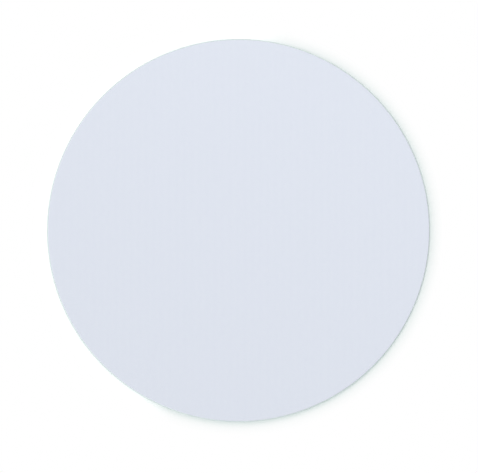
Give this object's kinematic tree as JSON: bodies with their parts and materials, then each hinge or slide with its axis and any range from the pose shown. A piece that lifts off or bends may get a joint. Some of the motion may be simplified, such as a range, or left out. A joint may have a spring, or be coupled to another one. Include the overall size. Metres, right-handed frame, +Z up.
{
  "type": "mouse pad",
  "caption": "Round soft mouse pad with a pale blue-white knitted cloth face bonded to a thin foam rubber base with a wavy non-slip tread underneath.",
  "frame": {"origin": "centre of the underside, on the surface that the pad lies on", "axes": "+Z up out of the cloth face; the tread's ribs run along X; Y completes the right-handed frame"},
  "size_m": [0.2, 0.2, 0.003],
  "materials": {
    "face_cloth": "matte",
    "hot_melt_film": "satin",
    "foam_rubber": "matte",
    "skin_rubber": "matte"
  },
  "bodies": {
    "root": {"top_cloth": "face_cloth", "bond_film": "hot_melt_film", "foam_core": "foam_rubber", "grip_skin": "skin_rubber"}
  },
  "joints": []
}
